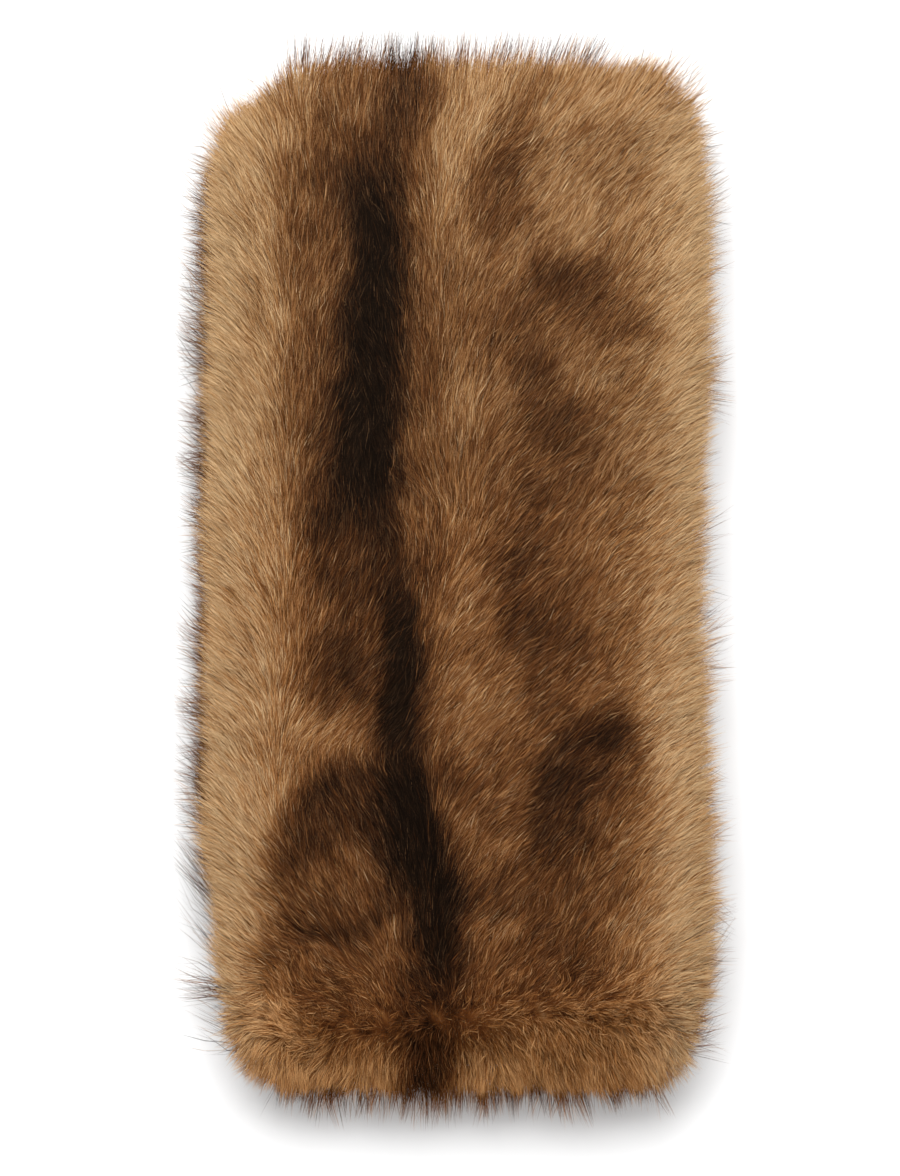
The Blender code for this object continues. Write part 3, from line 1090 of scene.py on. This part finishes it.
    def trim(self, hairs: Hairs) -> None:
        """Keeps hairs off the floor and within the fur's reach."""
        for points in (hairs.bend, hairs.tip):
            points[:, 2] = np.maximum(points[:, 2], self.floor_gap + hairs.radius)
        for axis, reach in enumerate(self.reach):
            run = np.abs(hairs.tip[:, axis]) - np.abs(hairs.root[:, axis])
            room = reach - np.abs(hairs.root[:, axis])
            share = np.where(run > room, room / np.maximum(run, 1e-6), 1.0)[:, None]
            hairs.bend = hairs.root + (hairs.bend - hairs.root) * share
            hairs.tip = hairs.root + (hairs.tip - hairs.root) * share

    def dye(self, hairs: Hairs, coat: Coat) -> None:
        """Dyes each hair by the pelt's marking where its upper half shows."""
        count = len(hairs.root)
        place = hairs.at(np.array([self.shown_at]))[0][:, 0, :2]
        shown = place + self.rng.normal(0, self.scatter, (count, 2))
        broad = self.nap.streaks(hairs.root, self.broad, steps=3, stride=2.5 * MM)
        if coat.level is None:
            height, parting = hairs.root[:, 2], self.surface.parting
            share = smooth_step(height, *(parting + rise for rise in self.back_rise))
            lower = np.where(hairs.root[:, 0] < 0, *self.back_levels)
            mark = self.pelt.level(shown[:, 0], shown[:, 1]) * share + lower * (1 - share)
            fine = self.fine_depth * self.nap.streaks(place, self.fine, steps=5, stride=0.5 * MM)
            mark += fine * (1 - 0.55 * smooth_step(mark, 0.45, 0.85))
        else:
            pelt = self.pelt.level(shown[:, 0], shown[:, 1])
            mark = pelt + (coat.level - pelt) * coat.own
        mark += self.broad_depth * broad + self.rng.normal(0, coat.uneven, count)
        hairs.mark = np.clip(mark, 0.0, 1.0)
        hairs.warmth = self.pelt.warmth(shown[:, 0], shown[:, 1], mark)
        hairs.tone = self.rng.normal(0, 1, count)


@dataclass
class Pile:
    """Makes batches of hairs into joined meshes.

    No piece has more than most hairs. Each hair is wide across the upright axis, which is
    tilted a little so that hairs that stand straight up have a side too, and is rolled by up to
    roll from there. Roundness is the share of its own form in how it takes the light.
    """

    blade: Blade
    upright: tuple[float, float, float] = (0.3, 0.2, 1.0)
    roll: float = math.radians(30)
    roundness: float = 0.42
    most: int = 40000
    cells_across: int = 256
    cells_up: int = 160

    def parts(self, name: str, hairs: Hairs, less: int) -> list[bpy.types.Object]:
        """Makes a batch into one piece, or into several side by side if it is large.

        Args:
            name: Name of the piece, or what the names of the pieces start with.
            hairs: The hairs.
            less: How many times fewer hairs there are than in the full pile.

        Returns:
            The pieces.
        """
        parts = math.ceil(len(hairs.root) * less / self.most)
        if parts == 1:
            return [self.mesh(name, hairs)]
        across = np.argsort(hairs.root[:, 0], kind="stable")
        shares = enumerate(np.array_split(across, parts), start=1)
        return [self.mesh(f"{name}_{number}", hairs.part(share)) for number, share in shares]

    def mesh(self, name: str, hairs: Hairs) -> bpy.types.Object:
        """Copies the blade along each hair, each turned a little on its own.

        Args:
            name: Name of the new piece.
            hairs: The hairs.

        Returns:
            The piece, with its attributes and its map.
        """
        model = self.blade.points
        count, size = len(hairs.root), len(model)
        points, ways = hairs.at(model[:, 2])
        side = self.sides(hairs)[:, None, :]
        up = np.cross(ways, side)
        outward = side * model[None, :, :1] + up * model[None, :, 1:2]
        points = points + hairs.radius[:, None, None] * outward
        faces = (self.blade.faces[None] + np.arange(count)[:, None, None] * size).reshape(-1, 3)
        mesh = bpy.data.meshes.new(name)
        mesh.vertices.add(count * size)
        mesh.vertices.foreach_set("co", points.astype(np.float32).ravel())
        mesh.loops.add(faces.size)
        mesh.loops.foreach_set("vertex_index", faces.astype(np.int32).ravel())
        mesh.polygons.add(len(faces))
        mesh.polygons.foreach_set("loop_start", np.arange(0, faces.size, 3, dtype=np.int32))
        mesh.polygons.foreach_set("use_smooth", np.ones(len(faces), bool))
        mesh.update(calc_edges=True)
        facing = self.roundness * outward + (1 - self.roundness) * hairs.lie[:, None, :]
        mesh.normals_split_custom_set_from_vertices(unit(facing.reshape(-1, 3)).tolist())
        note(mesh, "along", np.tile(model[:, 2], count))
        for dye in ("mark", "tone", "warmth"):
            note(mesh, dye, np.repeat(getattr(hairs, dye), size))
        self.lay_map(mesh, faces, size)
        hair = bpy.data.objects.new(name, mesh)
        bpy.context.scene.collection.objects.link(hair)
        return hair

    def sides(self, hairs: Hairs) -> np.ndarray:
        """Which way each hair is wide: level, turned a little, and with its face to the light."""
        first = unit(hairs.tip - hairs.root)
        level = unit(np.cross(np.array(self.upright), first))
        steep = np.cross(first, level)
        rng = np.random.default_rng(len(first))
        roll = rng.uniform(-self.roll, self.roll, (len(first), 1))
        side = level * np.cos(roll) + steep * np.sin(roll)
        facing = (np.cross(first, side) * hairs.lie).sum(1)
        return side * np.where(facing < 0, -1, 1)[:, None]

    def lay_map(self, mesh: bpy.types.Mesh, faces: np.ndarray, size: int) -> None:
        """Gives each hair a small cell of its own in the piece's map."""
        hair, corner = faces.ravel() // size, faces.ravel() % size
        model = self.blade.points[corner]
        across = 0.5 + 0.4 * model[:, 0]
        upward = 0.05 + 0.9 * model[:, 2]
        column, row = hair % self.cells_across, hair // self.cells_across
        uv = np.column_stack(
            [(column + across) / self.cells_across, (row + upward) / self.cells_up]
        )
        layer = mesh.uv_layers.new(name="OFBake")
        layer.uv.foreach_set("vector", uv.astype(np.float32).ravel())


class Socket(Enum):
    """Kinds of socket on a shader node group."""

    NUMBER = "NodeSocketFloat"
    COLOUR = "NodeSocketColor"


class Slot(Enum):
    """The record's material slots, one for each stretch of the strip."""

    FRONT = "front_fur"
    FOLD = "fold_fur"
    BACK = "back_fur"


Colour = tuple[float, float, float]
NodeSocket = bpy.types.NodeSocket
Value = NodeSocket | float


@dataclass
class Bench:
    """Places and joins the shader nodes of one tree."""

    tree: bpy.types.NodeTree

    def feed(self, socket: NodeSocket, value: Value | Colour) -> None:
        """Sets a socket to a number or colour, or links it to another socket."""
        if isinstance(value, NodeSocket):
            self.tree.links.new(value, socket)
        elif isinstance(value, tuple):
            socket.default_value = (*value, 1)
        else:
            socket.default_value = value

    def maths(self, operation: str, *values: Value) -> NodeSocket:
        """The result of one Math node on the values."""
        node = self.tree.nodes.new("ShaderNodeMath")
        node.operation = operation
        for socket, value in zip(node.inputs, values):
            self.feed(socket, value)
        return node.outputs[0]

    def eased(self, value: Value, low: float, high: float, start: float, end: float) -> NodeSocket:
        """A number that goes softly from start to end as value goes from low to high."""
        node = self.tree.nodes.new("ShaderNodeMapRange")
        node.interpolation_type = "SMOOTHSTEP"
        names = ("Value", "From Min", "From Max", "To Min", "To Max")
        for name, number in zip(names, (value, low, high, start, end)):
            self.feed(node.inputs[name], number)
        return node.outputs["Result"]

    def blend(self, share: Value, first: Value, second: Value | Colour, kind: str = "MIX") -> NodeSocket:
        """Two colours mixed by share, or in another kind of mix."""
        node = self.tree.nodes.new("ShaderNodeMix")
        node.data_type = "RGBA"
        node.blend_type = kind
        for name, value in (("Factor", share), ("A", first), ("B", second)):
            socket = next(s for s in node.inputs if s.name == name and s.enabled)
            self.feed(socket, value)
        return next(s for s in node.outputs if s.enabled)

    def scaled(self, colour: NodeSocket, factor: Value) -> NodeSocket:
        """A colour times a number."""
        node = self.tree.nodes.new("ShaderNodeVectorMath")
        node.operation = "SCALE"
        self.feed(node.inputs[0], colour)
        self.feed(node.inputs["Scale"], factor)
        return node.outputs["Vector"]

    def attribute(self, name: str) -> NodeSocket:
        """The number that the piece's mesh holds under a name."""
        node = self.tree.nodes.new("ShaderNodeAttribute")
        node.attribute_name = name
        return node.outputs["Fac"]


@dataclass(frozen=True)
class HairDyeShadeAndGlint:
    """The colours of the pelt, from cream to black, and how they change along a hair.

    A hair's tone moves its mark by tone_shift. Roots take on the undertone. The palest hairs
    turn a paler, greyer colour, partly their own and partly a painted glint of the lamp. Shade
    is a painted root shade: how bright a hair is at its root and at its tip, darker deep in the pile.
    """

    cream: Colour = (0.705, 0.485, 0.262)
    golden: Colour = (0.437, 0.240, 0.093)
    tan: Colour = (0.190, 0.0755, 0.0235)
    brown: Colour = (0.098, 0.0345, 0.0106)
    umber: Colour = (0.046, 0.0160, 0.0053)
    sable: Colour = (0.0138, 0.0059, 0.0027)
    black: Colour = (0.0036, 0.0019, 0.0013)
    undertone: Colour = (0.19, 0.072, 0.021)
    # Paler, greyer colour of the hairs of highest tone, partly their own and partly a painted glint of
    # the lamp.
    silver: Colour = (0.46, 0.275, 0.140)
    warm: Colour = (1.12, 0.83, 0.58)
    tone_shift: float = -0.06
    most_undertone: float = 0.5
    most_silver: float = 0.5
    # Painted shade: bright at the tip, darker towards the root, deep in the pile.
    shade: tuple[float, float] = (0.66, 1.03)
    inputs: tuple[str, ...] = ("Mark", "Along", "Tone", "Warmth")

    @property
    def stops(self) -> tuple[tuple[float, Colour], ...]:
        """Where each colour lies between cream and black."""
        return (
            (0.0, self.cream), (0.18, self.golden), (0.38, self.tan), (0.55, self.brown),
            (0.70, self.umber), (0.85, self.sable), (1.0, self.black),
        )

    def group(self) -> bpy.types.NodeTree:
        """Builds the node group that turns the dye of a hair into its colour.

        Returns:
            The node group, with a number in for each name in inputs, and a colour out.
        """
        tree = bpy.data.node_groups.new("HairDyeShadeAndGlint", "ShaderNodeTree")
        for name in self.inputs:
            tree.interface.new_socket(name, in_out="INPUT", socket_type=Socket.NUMBER.value)
        tree.interface.new_socket("Colour", in_out="OUTPUT", socket_type=Socket.COLOUR.value)
        bench = Bench(tree)
        mark, along, tone, warmth = tree.nodes.new("NodeGroupInput").outputs[:4]
        level = bench.maths("MULTIPLY_ADD", tone, self.tone_shift, mark)
        ramp = tree.nodes.new("ShaderNodeValToRGB")
        elements = ramp.color_ramp.elements
        while len(elements) < len(self.stops):
            elements.new(0.5)
        for element, (position, colour) in zip(elements, self.stops):
            element.position = position
            element.color = (*colour, 1)
        bench.feed(ramp.inputs[0], level)
        rooted = bench.maths(
            "MULTIPLY",
            bench.eased(along, 0.1, 0.75, self.most_undertone, 0.0),
            bench.eased(level, 0.45, 0.85, 1.0, 0.0),
        )
        colour = bench.blend(rooted, ramp.outputs["Color"], self.undertone)
        # Partly paler hairs, partly painted glints: hairs of high tone take the greyer colour, less where
        # the pelt is dark.
        silver_and_glint_share = bench.maths(
            "MULTIPLY",
            bench.eased(tone, 0.5, 2.4, 0.0, self.most_silver),
            bench.eased(level, 0.35, 0.95, 1.0, 0.12),
        )
        colour = bench.blend(silver_and_glint_share, colour, self.silver)
        # Painted shade: darkens each hair towards its root, deep in the pile.
        colour = bench.scaled(colour, bench.eased(along, 0.1, 0.8, *self.shade))
        colour = bench.blend(warmth, colour, self.warm, "MULTIPLY")
        bench.feed(tree.nodes.new("NodeGroupOutput").inputs["Colour"], colour)
        return tree


@dataclass(frozen=True)
class FurFinish:
    """The surface of the hairs of one stretch."""

    name: str
    roughness: float = 0.42
    gloss: float = 0.038
    glint: Colour = (1.0, 0.80, 0.58)

    def shader(self, material: bpy.types.Material) -> bpy.types.ShaderNode:
        """Gives a material its sheen, and returns its shader."""
        material.use_nodes = True
        shader = material.node_tree.nodes["Principled BSDF"]
        shader.inputs["Roughness"].default_value = self.roughness
        shader.inputs["Specular IOR Level"].default_value = self.gloss
        shader.inputs["Specular Tint"].default_value = (*self.glint, 1)
        return shader

    def material(self, dye: bpy.types.NodeTree) -> bpy.types.Material:
        """Builds the material of the hairs.

        Args:
            dye: The node group that gives their colour.

        Returns:
            The material.
        """
        material = bpy.data.materials.new(self.name)
        shader = self.shader(material)
        bench = Bench(material.node_tree)
        group = material.node_tree.nodes.new("ShaderNodeGroup")
        group.node_tree = dye
        for socket in group.inputs:
            bench.feed(socket, bench.attribute(socket.name.lower()))
        bench.feed(shader.inputs["Base Color"], group.outputs["Colour"])
        return material


@dataclass(frozen=True)
class UnderfurFinish(FurFinish):
    """The matted down between the hairs, streaked along the strip.

    It has the colour of its hairs at along, a share of the way from their roots, with the
    painted root shade that they have there.
    """

    name: str = "underfur"
    along: float = 0.3
    roughness: float = 0.62
    gloss: float = 0.05
    grain: float = 900.0
    drawn_out: float = 0.16
    streak: float = 0.22
    depth: float = 1.2 * MM

    def material(self, dye: bpy.types.NodeTree) -> bpy.types.Material:
        """Builds the material of the cloth, whose streaks tint it and stand in relief."""
        material = bpy.data.materials.new(self.name)
        shader = self.shader(material)
        nodes = material.node_tree.nodes
        bench = Bench(material.node_tree)
        lie = nodes.new("ShaderNodeMapping")
        lie.inputs["Scale"].default_value = (1, self.drawn_out, 1)
        bench.feed(lie.inputs["Vector"], nodes.new("ShaderNodeTexCoord").outputs["Object"])
        down = nodes.new("ShaderNodeTexNoise")
        for name, value in (("Scale", self.grain), ("Detail", 4), ("Roughness", 0.6)):
            down.inputs[name].default_value = value
        bench.feed(down.inputs["Vector"], lie.outputs["Vector"])
        strands = bench.maths("SUBTRACT", down.outputs["Fac"], 0.5)
        group = nodes.new("ShaderNodeGroup")
        group.node_tree = dye
        for name in ("Along", "Tone", "Warmth"):
            bench.feed(group.inputs[name], bench.attribute(name.lower()))
        mark = bench.maths("MULTIPLY_ADD", strands, self.streak, bench.attribute("mark"))
        bench.feed(group.inputs["Mark"], mark)
        bench.feed(shader.inputs["Base Color"], group.outputs["Colour"])
        relief = nodes.new("ShaderNodeBump")
        relief.inputs["Distance"].default_value = self.depth
        bench.feed(relief.inputs["Height"], down.outputs["Fac"])
        bench.feed(shader.inputs["Normal"], relief.outputs["Normal"])
        return material


@dataclass
class Studio:
    """The pale floor, the soft light and the camera."""

    floor_size: float = 6.0
    floor_grey: float = 0.96
    sky_strength: float = 0.67
    key_place: tuple[float, float, float] = (-0.11, 0.78, 1.45)
    key_size: tuple[float, float] = (1.4, 1.1)
    key_power: float = 31.5
    tilt: float = math.radians(85)
    distance: float = 2.2
    view_height: float = 452.8 * MM
    target: tuple[float, float, float] = (-1.5 * MM, -4.4 * MM, 22 * MM)
    film_height: float = 36.0

    def build(self) -> None:
        """Sets up the whole studio."""
        self.lay_floor()
        self.light()
        self.aim_camera()
        bpy.context.scene.view_settings.view_transform = "Standard"

    def lay_floor(self) -> None:
        """Lays the floor that the wrap rests on."""
        deselect_all()
        bpy.ops.mesh.primitive_plane_add(size=self.floor_size, location=(0, 0, 0))
        floor = bpy.context.object
        floor.name = "floor"
        material = bpy.data.materials.new("floor")
        material.use_nodes = True
        shader = material.node_tree.nodes["Principled BSDF"]
        shader.inputs["Base Color"].default_value = (self.floor_grey,) * 3 + (1,)
        shader.inputs["Roughness"].default_value = 0.9
        shader.inputs["Specular IOR Level"].default_value = 0.1
        floor.data.materials.append(material)

    def light(self) -> None:
        """Sets the even sky and one large soft lamp above the wrap's upper end."""
        world = bpy.data.worlds.new("studio")
        world.use_nodes = True
        sky = world.node_tree.nodes["Background"]
        sky.inputs["Color"].default_value = (1, 1, 1, 1)
        sky.inputs["Strength"].default_value = self.sky_strength
        bpy.context.scene.world = world
        lamp = bpy.data.lights.new("key", "AREA")
        lamp.shape = "RECTANGLE"
        lamp.size, lamp.size_y = self.key_size
        lamp.energy = self.key_power
        key = bpy.data.objects.new("key", lamp)
        key.location = self.key_place
        key.rotation_euler = (-key.location).to_track_quat("-Z", "Y").to_euler()
        bpy.context.scene.collection.objects.link(key)

    def aim_camera(self) -> None:
        """Points the camera down at the wrap, so that the frame is view_height high."""
        eye = bpy.data.cameras.new("camera")
        camera = bpy.data.objects.new("camera", eye)
        away = Vector((0, -math.cos(self.tilt), math.sin(self.tilt)))
        camera.location = Vector(self.target) + self.distance * away
        camera.rotation_euler = (math.radians(90) - self.tilt, 0, 0)
        eye.sensor_fit = "VERTICAL"
        eye.sensor_height = self.film_height
        eye.lens = self.film_height * self.distance / self.view_height
        eye.clip_end = 20
        bpy.context.scene.collection.objects.link(camera)
        bpy.context.scene.camera = camera


@dataclass
class FurCollarWrap:
    """The whole wrap: the folded cloth and all the fur that grows on it."""

    cloth_maker: FurCloth = field(default_factory=FurCloth)
    blade: Blade = field(default_factory=Blade)
    finishes: dict[Slot, FurFinish] = field(default_factory=lambda: {
        slot: FurFinish(slot.value) for slot in Slot
    })
    guard: FurFinish = FurFinish("guard_hair", roughness=0.5, gloss=0.04)
    underfur: UnderfurFinish = UnderfurFinish()
    cloth_width: float = 175 * MM
    coats: tuple[Coat, ...] = (
        Coat("pile", density=5.4, radius=0.062 * MM, zone=Zone.mm(y=(-152, 1000)), lock=20),
        Coat("tufts", density=5.2, radius=0.064 * MM, zone=Zone.mm(y=(-1000, -152)), lock=40),
        Coat("corner_tufts", density=2.0, radius=0.066 * MM, level=0.2, own=0.7, lock=60,
             zone=Zone.mm(x=(-89, -66), y=(145, 184), z=(14, 32)),
             fan=Fan(length=18.5 * MM, lean=-30, stray=16, lift=2, gather=0.8, ragged=0.4)),
        Coat("corner_guard", density=0.3, radius=0.052 * MM, level=0.36, own=0.8, lock=5,
             zone=Zone.mm(x=(-98, -64), y=(146, 184), z=(14, 32)),
             fan=Fan(length=27 * MM, lean=-42, stray=17, lift=3, gather=0.3, ragged=0.3)),
        Coat("crown_guard", density=0.34, radius=0.064 * MM, level=0.68, own=0.5, lock=4,
             zone=Zone.mm(x=(-64, 50), y=(176, 1000), z=(21, 1000)),
             fan=Fan(length=34 * MM, follow=0.5, stray=7, lift=6, gather=0.15, ragged=0.12)),
        Coat("shoulder_guard", density=0.3, radius=0.05 * MM, level=0.38, own=0.7, lock=4,
             zone=Zone.mm(x=(36, 100), y=(168, 1000), z=(21, 1000)),
             fan=Fan(length=26 * MM, follow=0.9, stray=12, lift=4, gather=0.08, ragged=0.16)),
        Coat("left_fringe", density=0.37, radius=0.068 * MM, level=0.50, lock=9,
             zone=Zone.mm(x=(-100, -70), y=(-110, 160), z=(1, 19)),
             fan=Fan(length=20.5 * MM, lean=-64, stray=20, gather=0.5, ragged=0.3)),
        Coat("left_wisps", density=0.34, radius=0.06 * MM, level=0.68, lock=8,
             zone=Zone.mm(x=(-100, -60), y=(-170, -84), z=(1, 24)),
             fan=Fan(length=26 * MM, lean=-36, stray=14, gather=0.6, ragged=0.3)),
        Coat("corner_wisps", density=0.5, radius=0.058 * MM, level=0.6, lock=10,
             zone=Zone.mm(x=(-100, -72), y=(-190, -156), z=(1, 28)),
             fan=Fan(length=27 * MM, lean=-80, stray=24, lift=3, gather=0.55, ragged=0.35)),
        Coat("right_fringe", density=0.3, radius=0.06 * MM, level=0.46, lock=10,
             zone=Zone.mm(x=(70, 100), y=(-182, 176), z=(8, 32)),
             fan=Fan(length=17 * MM, lean=78, stray=22, gather=0.5, ragged=0.35)),
        Coat("foot_fringe", density=1.3, radius=0.064 * MM, level=0.44, lock=16,
             zone=Zone.mm(x=(-66, 76), y=(-1000, -178), z=(1, 18)),
             fan=Fan(length=20.5 * MM, lean=180, splay=-180, stray=8, gather=0.7, ragged=0.16)),
    )

    def build(self) -> None:
        """Makes the cloth, grows the fur and dresses them."""
        dye = HairDyeShadeAndGlint().group()
        dyes = {slot: finish.material(dye) for slot, finish in self.finishes.items()}
        guard = self.guard.material(dye)
        cloth = self.cloth_maker.build()
        self.blade.model()
        grower = Grower(Surface.of(cloth, self.cloth_maker.parting), Nap(), Pelt())
        pile = Pile(self.blade)
        less = 1
        for coat in self.coats:
            hairs = grower.grow(coat, less)
            for name, slot, share in self.stretches(coat, hairs):
                for piece in pile.parts(name, hairs.part(share), less):
                    piece.data.materials.append(guard if coat.fan else dyes[slot])
                    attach(piece, "root")
                    LOG.info("%s: %d faces", piece.name, len(piece.data.polygons))
        self.dress_cloth(cloth, grower, dye)
        LOG.info("%s: %d faces", cloth.name, len(cloth.data.polygons))

    def stretches(self, coat: Coat, hairs: Hairs) -> list[tuple[str, Slot, np.ndarray]]:
        """Sorts a coat's hairs by the stretch of the strip that they grow on.

        Args:
            coat: The coat.
            hairs: Its hairs.

        Returns:
            A name, a slot and a mask of the hairs for each stretch that has any.
        """
        front = hairs.root[:, 2] > self.cloth_maker.parting
        fold = hairs.root[:, 1] < self.cloth_maker.turn_y
        if coat.fan is not None:
            slot = Slot.FOLD if fold.mean() > 0.5 else Slot.FRONT if front.mean() > 0.5 else Slot.BACK
            return [(coat.name, slot, np.ones(len(front), bool))]
        stretches = [
            (f"front_{coat.name}", Slot.FRONT, front & ~fold),
            (f"fold_{coat.name}", Slot.FOLD, fold),
            (f"back_{coat.name}", Slot.BACK, ~front & ~fold),
        ]
        return [stretch for stretch in stretches if stretch[2].any()]

    def dress_cloth(self, cloth: bpy.types.Object, grower: Grower, dye: bpy.types.NodeTree) -> None:
        """Dyes the cloth like the roots of its fur, painted root shade and all, attaches it to the wrap's
        body and hides the frame's parts that it stands in for.
        """
        spots = np.array([v.co for v in cloth.data.vertices])
        down = Hairs.set_out(spots, 0.0, spots)
        grower.dye(down, self.coats[0])
        note(cloth.data, "mark", down.mark)
        # Painted shade: the cloth takes its hairs' darker colour near their roots.
        note(cloth.data, "along", np.full(len(spots), self.underfur.along))
        note(cloth.data, "tone", np.zeros(len(spots)))
        note(cloth.data, "warmth", down.warmth)
        cloth.data.materials.append(self.underfur.material(dye))
        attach(cloth, "root")
        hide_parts("front_leaf", "bottom_fold", "back_leaf")


def main() -> None:
    """Builds the wrap and its studio."""
    logging.basicConfig(level=logging.INFO, format="%(name)s: %(message)s")
    FurCollarWrap().build()
    Studio().build()


if __name__ == "__main__":
    main()
